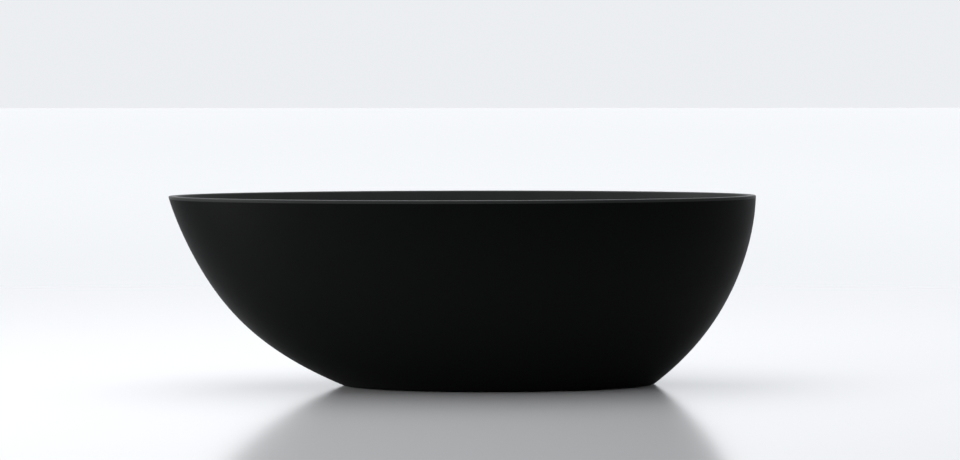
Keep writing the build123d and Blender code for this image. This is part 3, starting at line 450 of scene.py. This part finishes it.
PAD = 22 * MM
PAD_LOW = 2 * MM
PAD_EDGE = 6 * MM
PAD_TOP = 14 * MM
PAD_NOSE = 9.5 * MM
PAD_GROOVE_OUT = 16.6 * MM     # a groove round the pad's shoulder
PAD_GROOVE_IN = 14.8 * MM
SOLE = 20.5 * MM
SOLE_TOP = 3 * MM
socket = NECK + 0.7 * MM
pad = turned("pad", [
    (PAD - 0.6 * MM, PAD_LOW), (PAD, PAD_LOW + 0.6 * MM), (PAD, PAD_EDGE - 0.8 * MM),
    (PAD - 0.9 * MM, PAD_EDGE), (PAD_GROOVE_OUT, 8.6 * MM), (PAD_GROOVE_OUT - 0.4 * MM, 8.1 * MM),
    (PAD_GROOVE_IN, 9.1 * MM), (PAD_GROOVE_IN, 9.9 * MM),
    (PAD_NOSE + 1.2 * MM, PAD_TOP - 0.6 * MM), (PAD_NOSE, PAD_TOP), (socket + 0.8 * MM, PAD_TOP),
    (socket, PAD_TOP - 0.8 * MM), (socket, BALL_HEIGHT + 4.2 * MM), (BALL + 0.1 * MM, BALL_HEIGHT),
    (3 * MM, 4.2 * MM), (3 * MM, SOLE_TOP), (SOLE, SOLE_TOP), (SOLE, PAD_LOW),
], 72, hollow=True)
TREAD_GROOVES = (17 * MM, 13 * MM, 9 * MM, 5 * MM)
GROOVE_WIDTH = 1.2 * MM
GROOVE_DEPTH = 1.1 * MM
SOLE_MIDDLE = 2 * MM
tread = [(SOLE, SOLE_TOP), (SOLE, 0.4 * MM), (SOLE - 0.4 * MM, 0)]
for out in TREAD_GROOVES:
    tread += [(out, 0), (out, GROOVE_DEPTH), (out - GROOVE_WIDTH, GROOVE_DEPTH), (out - GROOVE_WIDTH, 0)]
sole = turned("sole", [(SOLE_MIDDLE, SOLE_TOP), *tread, (SOLE_MIDDLE, 0)], 72)

for end in ("head", "foot"):
    for side in ("front", "back"):
        leg = f"{end}_{side}"
        low, high = (Vector(corner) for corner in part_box(f"leg_stud_{leg}"))
        spot = ((low.x + high.x) / 2, (low.y + high.y) / 2, 0)
        for model, node, finish, slot, body in (
            (stud, "leg_stud", zinc, "zinc_steel", "stud"),
            (jam_nut, "leg_nut", zinc, "zinc_steel", "stud"),
            (pad, "leg_pad", nylon, "black_nylon", "pad"),
            (sole, "leg_sole", rubber, "black_rubber", "pad"),
        ):
            piece = copy_of(model, f"{model.name}_{leg}", spot)
            finished(piece, finish, f"{body}_{leg}")
            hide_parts(f"{node}_{leg}")
for model in (stud, jam_nut, pad, sole):
    bpy.data.objects.remove(model)

# ---- The welds --------------------------------------------------------------------------------------------
# Each crossbar meets the rails in a hand-laid bead, a row of overlapping runs along its two upright edges and
# across its underside, coated with the frame.

BEAD = 2.2 * MM
BEADS_ALONG_TUBE = 12
rail_low, rail_high = (Vector(corner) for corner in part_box("frame_rail_back"))
tube = rail_high.z - rail_low.z
runs = []
for name in ("head", "middle", "foot"):
    low, high = (Vector(corner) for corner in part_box(f"crossbar_{name}"))
    for y in (low.y, high.y):
        for step in range(BEADS_ALONG_TUBE):
            along = (step + 0.5) / BEADS_ALONG_TUBE * tube
            runs += [(low.x, y, low.z + along), (high.x, y, low.z + along), (low.x + along, y, low.z)]
deselect()
bpy.ops.mesh.primitive_ico_sphere_add(subdivisions=2, radius=BEAD)
bead = bpy.context.object
bead.scale = (1, 1, 0.8)
place(bead)
beads = [copy_of(bead, "run", spot) for spot in runs]
bpy.data.objects.remove(bead)
welds = joined("weld_beads", beads)
finished(welds, powder_coat, "bath")

# ---- The waste --------------------------------------------------------------------------------------------
# A chromed brass waste is clamped through the bath's floor on rubber seals by a nut under the overflow tee.
# The tailpiece hangs from it in a union nut, ready for the trap.

chrome = plain("polished_chrome", (0.78, 0.79, 0.81), 0.07, metallic=1.0, grain=60, depth=0.00002, shift=0.03)
grey_pipe = plain("grey_pipe", (0.36, 0.38, 0.39), 0.38, grain=500, depth=0.0002)
refinish(chrome, "waste_body", "tailpiece")
refinish(grey_pipe, "overflow_tee")
refinish(rubber, "waste_upper_seal", "waste_lower_seal", "outlet_washer")

waste_x = (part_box("waste_body")[0][0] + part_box("waste_body")[1][0]) / 2
WASTE_TAIL = 23.9 * MM


def gripped_nut(name, node, bore, finish):
    """A hand-tightened nut: its hexagon, with its corners turned off at both ends."""
    low, high = (Vector(corner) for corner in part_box(node))
    flats = high.y - low.y
    nut = hexagon_nut(name, flats, low.z, high.z, bore, 2.4 * MM)
    nut = place(nut, to=(waste_x, 0, 0))
    finished(nut, finish, "bath")
    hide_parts(node)


gripped_nut("lock_nut", "waste_lock_nut", WASTE_TAIL + 0.1 * MM, grey_pipe)
refinish(chrome, "union_nut")

# ---- The plug ---------------------------------------------------------------------------------------------
# A chromed cap over a rubber gasket, on a stem that slides in the cartridge in the waste's hub. A small coil
# spring lifts it open, and it is pressed down to shut. The spring is steel wire, wound round the Z axis.

refinish(chrome, "plug_cap", "plug_stem")
refinish(rubber, "plug_gasket")
refinish(grey_pipe, "plug_cartridge")
spring_steel = plain("spring_steel", (0.6, 0.6, 0.62), 0.25, metallic=1.0, grain=800, depth=0.00005)

SPRING_RADIUS = 4.6 * MM
WIRE = 0.4 * MM
SPRING_TURNS = 7
spring_low, spring_high = (corner[2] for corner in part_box("plug_spring"))
deselect()
bpy.ops.mesh.primitive_circle_add(vertices=12, radius=WIRE, rotation=(pi / 2, 0, 0))
spring = bpy.context.object
spring.name = "plug_coil"
place(spring)
place(spring, to=(SPRING_RADIUS, 0, spring_low + WIRE))
rise = (spring_high - spring_low - 2 * WIRE) / SPRING_TURNS
modified(
    spring, "SCREW", screw_offset=rise, iterations=SPRING_TURNS, steps=28, render_steps=28,
    use_merge_vertices=False,
)
bpy.ops.object.mode_set(mode="EDIT")
bpy.ops.mesh.select_all(action="SELECT")
bpy.ops.mesh.remove_doubles(threshold=0.000001)
bpy.ops.mesh.fill_holes(sides=16)
bpy.ops.mesh.normals_make_consistent(inside=False)
bpy.ops.object.mode_set(mode="OBJECT")
place(spring, to=(waste_x, 0, 0))
finished(spring, spring_steel, "bath", 60)
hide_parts("plug_spring")
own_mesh(spring)

# ---- The overflow -----------------------------------------------------------------------------------------
# A chromed cover stands off the wall on a ring, and the water runs in behind it. One screw clamps the ring to
# the plastic body behind the wall, whose pipe goes down to the tee.

refinish(chrome, "overflow_cover", "overflow_ring")
refinish(rubber, "overflow_gasket")
refinish(grey_pipe, "overflow_body", "overflow_pipe")
refinish(zinc, "overflow_screw")
